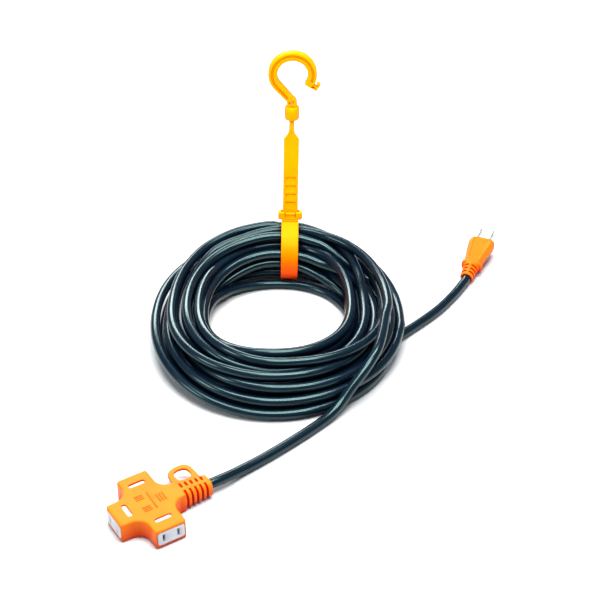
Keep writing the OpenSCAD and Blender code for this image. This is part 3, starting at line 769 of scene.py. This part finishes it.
def make_strap():
    rings = []
    count = 160
    for i in range(count):
        a = 2 * math.pi * i / count
        w = loop_width(a)
        section = [(-w + 0.5, 27.85), (w - 0.5, 27.85), (w, 28.2), (w, 29.2), (w - 0.45, 29.6),
                   (0.0, 29.72), (-w + 0.45, 29.6), (-w, 29.2), (-w, 28.2)]
        rings.append([(x, r * math.cos(a), r * math.sin(a)) for x, r in section])
    shape = bmesh.new()
    made = [[shape.verts.new(p) for p in ring] for ring in rings]
    for i in range(count):
        banded(shape, made[i], made[(i + 1) % count])
    loop = added("loop", shape)

    half = 7.2
    outline = [(-half - 0.4, 28.4), (half + 0.4, 28.4), (half, 60.0), (half, 122.5)]
    outline += arc(half - 2.6, 123.2, 2.6, 0, 52, 5) + [(3.1, 129.8), (2.35, 134.2)]
    outline += [(-2.35, 134.2), (-3.1, 129.8)] + arc(-half + 2.6, 123.2, 2.6, 128, 180, 5)
    outline += [(-half, 122.5), (-half, 60.0)]
    belt = upright(prism(outline, -1.2, 1.2, round_by=0.5))
    profile = [(132.0, 0.0), (132.0, 2.35), (150.0, 2.35), (150.2, 4.2), (152.6, 3.6), (152.6, 0.0)]
    stem = moved(lathe(profile, 40), turned(-90, "Y"))
    cheeks = []
    for s in (-1, 1):
        low_x, high_x = sorted((s * 8.0, s * 11.65))
        cheeks.append(block((low_x, -4.2, 36.4), (high_x, 2.4, 45.0), 1.6, 4))
        low_x, high_x = sorted((s * 5.2, s * 9.4))
        cheeks.append(block((low_x, -4.0, 37.0), (high_x, -1.3, 44.4), 0.5, 3))
    cheeks.append(block((-11.2, 0.6, 36.6), (11.2, 2.4, 44.8), 0.7, 3))
    cheeks.append(block((-8.3, -4.2, 35.0), (8.3, -1.8, 36.9), 0.6, 3))
    # the throat: the strap rises from the front of the loop to the buckle
    throat = []
    for y, z, half in ((-16.5, 23.6, 8.3), (-11.0, 27.0, 8.3), (-6.5, 30.2, 8.25),
                       (-3.6, 33.6, 8.2), (-3.1, 36.6, 8.2)):
        throat.append([(-half, y - 0.6, z + 0.75), (half, y - 0.6, z + 0.75),
                       (half, y + 0.75, z - 0.75), (-half, y + 0.75, z - 0.75)])
    cheeks.append(loft(throat))
    piece = joined("hanger_belt", [loop, belt, stem] + cheeks)
    cuts = []
    for i in range(4):
        low = 47.9 + 9.1 * i
        rings = []
        for z, depth in ((low, 0.02), (low + 0.6, 0.1), (low + 6.9, 1.3), (low + 7.3, 1.3)):
            rings.append([(x, y, z) for x, y in
                          ((-4.7, -1.2 + depth), (4.7, -1.2 + depth), (4.9, -3.0), (-4.9, -3.0))])
        cuts.append(loft(rings))
    cuts.append(lathe([(-12, 0), (-12, 27.8), (12, 27.8), (12, 0)], 160))
    carved(piece, cuts)
    moulded_form(piece, 0.26, 2, 0.35)
    return placed(piece, HANGER)


def make_pawl():
    """The release tongue: a flat lever with a lip, two dimples and its trunnions."""
    lever = block((-4.6, -3.6, 37.4), (4.6, -2.1, 44.3), 0.4, 3)
    lip = block((-4.6, -4.5, 42.4), (4.6, -2.4, 44.3), 0.55, 3)
    tooth = block((-3.7, -2.9, 42.4), (3.7, -1.45, 43.8), 0.25, 2)
    foot = block((-4.6, -4.1, 37.15), (4.6, -2.0, 38.8), 0.5, 3)
    pin = moved(lathe([(-6.0, 0), (-6.0, 0.7), (-5.8, 0.9), (5.8, 0.9), (6.0, 0.7), (6.0, 0)], 24),
                Matrix.Translation((0, -2.9, 38.0)))
    piece = joined("buckle_tongue", [lever, lip, tooth, foot, pin])
    dots = [moved(lathe([(0, 0), (0, 0.55), (2, 0.75), (2, 0)], 16),
                  turned(-90, "Z", (x, -3.35, 41.0)))
            for x in (-1.7, 1.7)]
    carved(piece, dots)
    moulded_form(piece, 0.18, 2, 0.5)
    return placed(piece, HANGER)


def hook_section(depth=4.0, width=4.1, groove=1.1):
    """Across the hook: outward and along Y, with one groove in each face."""
    side = [(-width, depth - 1.5), (-width + 0.35, depth - 0.55), (-width + 1.3, depth), (-0.7, depth),
            (-0.4, depth - 0.25), (-0.3, depth - groove), (1.5, depth - groove), (1.6, depth - 0.25),
            (1.9, depth), (width - 1.3, depth), (width - 0.35, depth - 0.55), (width, depth - 1.5)]
    return side + [(n, -y) for n, y in reversed(side)]


def make_hook():
    mid, centre = 18.1, 190.8
    path = []
    for i in range(89):
        a = math.radians(-24 + 246 * i / 88)
        path.append(((mid * math.cos(a), centre + mid * math.sin(a)), (math.cos(a), math.sin(a))))
    (x0, z0), (nx, nz) = path[-1]
    way = (-nz, nx)
    for i in range(1, 11):
        d = 1.62 * i
        path.append(((x0 + way[0] * d, z0 + way[1] * d), (nx, nz)))
    section = hook_section()
    rings = []
    for i, ((x, z), (nx, nz)) in enumerate(path):
        slim = 1.0 - 0.1 * min(1.0, max(0.0, (i - 90) / 8.0))
        rings.append([(x + nx * n * slim, y * slim, z + nz * n * slim) for n, y in section])
    parts = [loft(rings)]
    end = math.radians(-24)
    latch_at = (Matrix.Translation((mid * math.cos(end), 0, centre + mid * math.sin(end)))
                @ turned(32, "Y"))
    for low, high, round_by in (((-3.6, -4.0, -4.4), (3.6, 4.0, 1.4), 0.9),
                                ((-3.0, -2.7, -4.6), (9.0, 2.7, -0.6), 0.6),
                                ((7.4, -2.7, -4.6), (9.3, 2.7, 2.9), 0.6),
                                ((5.9, -2.7, 1.5), (9.3, 2.7, 3.1), 0.5)):
        parts.append(moved(block(low, high, round_by, 3), latch_at))
    neck = [(-4.4, 156.1), (4.4, 156.1), (4.5, 159.6), (4.4, 163.2), (3.4, 165.8), (1.4, 167.6),
            (-1.6, 168.8), (-4.2, 169.2), (-5.0, 166.4), (-4.7, 160.4)]
    parts.append(upright(prism(neck, -3.4, 3.4, round_by=0.9)))
    collar = [(145.4, 0.0), (145.4, 5.8), (145.7, 6.4), (146.2, 6.7), (147.0, 6.85), (155.8, 6.85),
              (156.8, 6.6), (157.7, 6.0), (158.3, 5.2), (158.5, 4.4), (158.5, 0.0)]
    parts.append(moved(lathe(collar, 64), turned(-90, "Y")))
    piece = joined("hook_bow", parts)
    eye = upright(prism(rounded_box(5.6, 3.0, 1.45), -8, 8))
    moved(eye, turned(-25, "Y", (-0.7, 0, 163.2)))
    window = moved(block((2.6, -6, -3.3), (6.3, 6, -1.9), 0.3, 2), latch_at)
    hollow = [(143.6, 0.0), (143.6, 2.5), (148.6, 2.5), (148.7, 4.5), (153.8, 4.5), (153.8, 0.0)]
    stem_room = moved(lathe(hollow, 48), turned(-90, "Y"))
    carved(piece, [eye, window, stem_room])
    return placed(piece, HANGER, 38)


# ---------------------------------------------------------------- materials

GROOVE_SHADE_REACH = 0.0022     # how far apart the walls of a groove may be for the painted groove shade, in metres
SIDE_SHADE_REACH = 0.018        # how near the floor or a wall must come for the painted shade on a side
TURN_SHADE_REACH = 0.016        # how near another turn must come for the painted shade that dims the sheath's shine
SHADE_FULL_BELOW, SHADE_GONE_ABOVE = 0.012, 0.072    # below the first height the painted shade on the strap is full, above the second it is gone

def shader(name, base, rough, sub=0.0, metal=0.0, spec=0.5):
    """A material whose shader holds its plain values, with its nodes and links."""
    mat = bpy.data.materials.new(name)
    mat.use_nodes = True
    nodes = mat.node_tree.nodes
    bsdf = nodes["Principled BSDF"]
    bsdf.inputs["Base Color"].default_value = (*base, 1.0)
    bsdf.inputs["Roughness"].default_value = rough
    bsdf.inputs["Metallic"].default_value = metal
    bsdf.inputs["Specular IOR Level"].default_value = spec
    if sub:
        bsdf.inputs["Subsurface Weight"].default_value = sub
        bsdf.inputs["Subsurface Radius"].default_value = (0.004, 0.0018, 0.0008)
        bsdf.inputs["Subsurface Scale"].default_value = 1.0
    return mat, nodes, mat.node_tree.links, bsdf


def coordinates(nodes, links, scale):
    place = nodes.new("ShaderNodeTexCoord")
    mapping = nodes.new("ShaderNodeMapping")
    mapping.inputs["Scale"].default_value = scale
    links.new(place.outputs["Object"], mapping.inputs["Vector"])
    return mapping.outputs["Vector"]


def noise(nodes, links, where, scale, detail=3.0, rough=0.55):
    made = nodes.new("ShaderNodeTexNoise")
    made.inputs["Scale"].default_value = scale
    made.inputs["Detail"].default_value = detail
    made.inputs["Roughness"].default_value = rough
    links.new(where, made.inputs["Vector"])
    return made.outputs["Fac"]


def mapped(nodes, links, value, span, ends=(0.0, 1.0)):
    """Maps a value from span onto ends."""
    made = nodes.new("ShaderNodeMapRange")
    made.inputs["From Min"].default_value, made.inputs["From Max"].default_value = span
    made.inputs["To Min"].default_value, made.inputs["To Max"].default_value = ends
    links.new(value, made.inputs["Value"])
    return made


def spread(nodes, links, value, low, high):
    """Maps the middle of a noise onto a narrow range."""
    return mapped(nodes, links, value, (0.3, 0.7), (low, high)).outputs["Result"]


def tinted(nodes, links, value, dark, light):
    """A colour that runs from dark to light with a 0 to 1 value."""
    ramp = nodes.new("ShaderNodeValToRGB")
    ramp.color_ramp.elements[0].position = 0.3
    ramp.color_ramp.elements[0].color = (*dark, 1.0)
    ramp.color_ramp.elements[1].position = 0.72
    ramp.color_ramp.elements[1].color = (*light, 1.0)
    links.new(value, ramp.inputs["Fac"])
    return ramp.outputs["Color"]


def bumped(nodes, links, bsdf, heights):
    """Chains bumps from several height values, each with its own depth in metres."""
    last = None
    for height, depth in heights:
        bump = nodes.new("ShaderNodeBump")
        bump.inputs["Strength"].default_value = 1.0
        bump.inputs["Distance"].default_value = depth
        links.new(height, bump.inputs["Height"])
        if last is not None:
            links.new(last, bump.inputs["Normal"])
        last = bump.outputs["Normal"]
    links.new(last, bsdf.inputs["Normal"])


def openness(nodes, links, reach, samples, span, ends=(0.0, 1.0), only_local=False):
    """How open a point is to its surroundings within reach, mapped from span onto ends."""
    shade = nodes.new("ShaderNodeAmbientOcclusion")
    shade.samples = samples
    shade.only_local = only_local
    shade.inputs["Distance"].default_value = reach
    return mapped(nodes, links, shade.outputs["AO"], span, ends).outputs["Result"]


def blended(nodes, links, share, tint, colour):
    """A fixed tint where the share is 0, the colour where it is 1."""
    mix = nodes.new("ShaderNodeMix")
    mix.data_type = "RGBA"
    mix.inputs[6].default_value = (*tint, 1.0)
    links.new(share, mix.inputs[0])
    links.new(colour, mix.inputs[7])
    return mix.outputs[2]


def moulded(name, dark, light, rough, grain, sub=0.0, spec=0.5, sheen=(1.0, 1.0, 1.0),
            groove_shade=None, side_shade=None, low=None):
    """A moulded plastic: slight colour drift, a fine grain and handling marks in the gloss.

    The last three colours are painted shade: the first in grooves and narrow corners, the second on
    sides that see little light, and the third, a warmer one, towards the floor.
    """
    mat, nodes, links, bsdf = shader(name, light, sum(rough) / 2, sub=sub, spec=spec)
    bsdf.inputs["Specular Tint"].default_value = (*sheen, 1.0)
    where = coordinates(nodes, links, (1.0, 1.0, 1.0))
    drift = noise(nodes, links, where, 34.0, 3.0)
    colour = tinted(nodes, links, drift, dark, light)
    # painted shade: grooves and narrow corners turn towards the given deep red
    if groove_shade is not None:
        unshaded_share = openness(nodes, links, GROOVE_SHADE_REACH, 16, (0.42, 0.88), only_local=True)
        colour = blended(nodes, links, unshaded_share, groove_shade, colour)
    # painted shade: sides that see little light, near the floor or a wall, turn towards the given dark
    # red
    if side_shade is not None:
        unshaded_share = openness(nodes, links, SIDE_SHADE_REACH, 16, (0.40, 0.96))
        colour = blended(nodes, links, unshaded_share, side_shade, colour)
    # painted shade: low down, towards the floor, the colour turns to the given deeper red
    if low is not None:
        height = nodes.new("ShaderNodeSeparateXYZ")
        links.new(where, height.inputs["Vector"])
        clear_of_floor_shade = mapped(nodes, links, height.outputs["Z"], (SHADE_FULL_BELOW, SHADE_GONE_ABOVE))
        clear_of_floor_shade.interpolation_type = "SMOOTHSTEP"
        colour = blended(nodes, links, clear_of_floor_shade.outputs["Result"], low, colour)
    links.new(colour, bsdf.inputs["Base Color"])
    rub = noise(nodes, links, where, 130.0, 5.0, 0.62)
    links.new(spread(nodes, links, rub, rough[0], rough[1]), bsdf.inputs["Roughness"])
    fine = noise(nodes, links, where, 2600.0, 2.0)
    wave = noise(nodes, links, where, 95.0, 2.0)
    bumped(nodes, links, bsdf, [(fine, grain), (wave, grain * 4.0)])
    return mat


def cord_material():
    """Smooth PVC sheath: glossy, with faint lines along it from the die and soft scuffs."""
    mat, nodes, links, bsdf = shader("cord_sheath", (0.002, 0.007, 0.014), 0.3, spec=0.3)
    bsdf.inputs["Specular Tint"].default_value = (0.60, 1.0, 0.95, 1.0)
    uv = nodes.new("ShaderNodeTexCoord")
    lines = nodes.new("ShaderNodeMapping")
    lines.inputs["Scale"].default_value = (60.0, 46.0, 1.0)
    links.new(uv.outputs["UV"], lines.inputs["Vector"])
    die = noise(nodes, links, lines.outputs["Vector"], 1.0, 2.0)
    where = coordinates(nodes, links, (1.0, 1.0, 1.0))
    scuff = noise(nodes, links, where, 75.0, 5.0, 0.6)
    links.new(tinted(nodes, links, scuff, (0.0013, 0.0045, 0.011), (0.0026, 0.0075, 0.016)),
              bsdf.inputs["Base Color"])
    links.new(spread(nodes, links, scuff, 0.17, 0.23), bsdf.inputs["Roughness"])
    # painted shade: less shine between the turns, where the real sheath sees only its own dark
    # neighbours
    shaded_shine = openness(nodes, links, TURN_SHADE_REACH, 32, (0.27, 0.86), (0.02, 0.46))
    links.new(shaded_shine, bsdf.inputs["Specular IOR Level"])
    fine = noise(nodes, links, where, 1900.0, 2.0)
    bumped(nodes, links, bsdf, [(die, 0.00003), (fine, 0.000006)])
    return mat


def floor_material():
    mat, nodes, links, bsdf = shader("studio_floor", (0.66, 0.66, 0.66), 0.8, spec=0.1)
    where = coordinates(nodes, links, (1.0, 1.0, 1.0))
    links.new(tinted(nodes, links, noise(nodes, links, where, 3.0), (0.65, 0.65, 0.65),
                     (0.67, 0.67, 0.67)), bsdf.inputs["Base Color"])
    return mat


def metal_material(name, dark, light, rough):
    mat, nodes, links, bsdf = shader(name, light, sum(rough) / 2, metal=1.0)
    where = coordinates(nodes, links, (1.0, 1.0, 1.0))
    drawn = nodes.new("ShaderNodeMapping")
    drawn.inputs["Rotation"].default_value = (0.0, 0.14, 1.187)
    drawn.inputs["Scale"].default_value = (120.0, 1600.0, 1600.0)
    links.new(where, drawn.inputs["Vector"])
    grain = noise(nodes, links, drawn.outputs["Vector"], 1.0, 3.0)
    haze = noise(nodes, links, where, 240.0, 4.0)
    links.new(tinted(nodes, links, haze, dark, light), bsdf.inputs["Base Color"])
    links.new(spread(nodes, links, haze, rough[0], rough[1]), bsdf.inputs["Roughness"])
    bumped(nodes, links, bsdf, [(grain, 0.00001)])
    return mat


def dressed(node, mat):
    """Gives a CAD node that stays a better material."""
    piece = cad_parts[node]
    piece = piece if isinstance(piece, bpy.types.Object) else bpy.data.objects[piece]
    if piece.data.materials:
        for i in range(len(piece.data.materials)):
            piece.data.materials[i] = mat
    else:
        piece.data.materials.append(mat)


# ---------------------------------------------------------------- making it all

bpy.context.scene.view_settings.view_transform = "Standard"
make_camera()
make_lights()
floor = make_floor()
floor.data.materials.append(floor_material())

SHEATH = cord_material()
SATIN, HARD, WIRE = (0.34, 0.46), (0.3, 0.42), (0.35, 0.5)       # ranges of roughness
WARM = (1.0, 0.72, 0.4)
# The deep red colours given below are painted shade: in grooves and narrow corners, and on the orange's
# sides that see little light.
ORANGE = moulded("orange_soft_pvc", (0.86, 0.155, 0.003), (0.94, 0.19, 0.006), SATIN, 0.00001,
                 sub=0.08, spec=0.18, sheen=WARM, groove_shade=(0.38, 0.002, 0.0),
                 side_shade=(0.62, 0.009, 0.0))
MARKS = moulded("orange_raised_marks", (0.84, 0.10, 0.0), (0.90, 0.13, 0.0), SATIN, 0.00001,
                spec=0.18, sheen=WARM, groove_shade=(0.6, 0.04, 0.0))
WHITE = moulded("white_hard_moulding", (0.56, 0.56, 0.60), (0.61, 0.61, 0.65), (0.28, 0.4), 0.000012)
# The last colour given here is painted shade, a deeper red towards the floor.
YELLOW = moulded("yellow_nylon", (0.92, 0.35, 0.0), (0.97, 0.40, 0.0), HARD, 0.000004,
                 sub=0.1, spec=0.12, sheen=(1.0, 0.75, 0.15), groove_shade=(0.85, 0.05, 0.0),
                 low=(0.95, 0.055, 0.0))
AMBER = moulded("amber_nylon", (0.90, 0.295, 0.0), (0.95, 0.335, 0.0), HARD, 0.000004,
                sub=0.1, spec=0.10, sheen=(1.0, 0.72, 0.12), groove_shade=(0.80, 0.025, 0.0))
NICKEL = metal_material("nickel_plate", (0.46, 0.47, 0.45), (0.58, 0.59, 0.56), (0.22, 0.36))
BRASS = metal_material("contact_strip", (0.60, 0.42, 0.18), (0.72, 0.53, 0.25), (0.26, 0.4))
TIN = metal_material("tinned_ferrule", (0.55, 0.55, 0.54), (0.66, 0.66, 0.64), (0.3, 0.45))
BLACK_WIRE = moulded("black_insulation", (0.012, 0.012, 0.012), (0.02, 0.02, 0.02), WIRE, 0.00001)
WHITE_WIRE = moulded("white_insulation", (0.68, 0.68, 0.66), (0.78, 0.78, 0.75), WIRE, 0.00001)

route = settled(wound_route(), SETTLING_ROUNDS)
cord = tube_mesh("cord", route, CORD_R, CORD_SIDES)
cord.data.materials.append(SHEATH)
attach(cord, "cord_set")
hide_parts("cord_tail_connector", "cord_coil", "cord_tail_plug")
for node, mat in (
    ("connector_core", WHITE),
    ("plug_bridge", WHITE), ("busbar_live", BRASS), ("busbar_neutral", BRASS),
    ("contact_clips_live", BRASS), ("contact_clips_neutral", BRASS), ("connector_crimps", TIN),
    ("plug_crimps", TIN),
    ("connector_wire_live", BLACK_WIRE), ("plug_wire_live", BLACK_WIRE),
    ("connector_wire_neutral", WHITE_WIRE), ("plug_wire_neutral", WHITE_WIRE),
):
    dressed(node, mat)


def shown(piece, mat, body, slot, *nodes):
    """Gives a finished piece its material and body, and the CAD nodes that it stands for."""
    piece.data.materials.clear()
    piece.data.materials.append(mat)
    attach(piece, body)
    if nodes:
        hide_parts(*nodes)
    return piece


shown(make_connector(), ORANGE, "cord_set", "orange_pvc", "connector_shell")
shown(make_marks(), MARKS, "cord_set", "orange_pvc")
for which in ("end", "left", "right"):
    shown(make_insert(which), WHITE, "cord_set", "white_moulding", "outlet_insert_" + which)
plug_shell = shown(make_plug(), ORANGE, "cord_set", "orange_pvc", "plug_body")
blades = [shown(make_blade("blade_one", -6.35), NICKEL, "cord_set", "nickel_blade", "blade_live"),
          shown(make_blade("blade_two", 6.35), NICKEL, "cord_set", "nickel_blade", "blade_neutral")]
shown(make_strap(), YELLOW, "strap", "yellow_nylon", "hanger_strap")
shown(make_pawl(), YELLOW, "pawl", "yellow_nylon", "buckle_pawl")
shown(make_hook(), AMBER, "hook", "yellow_nylon", "swivel_hook")
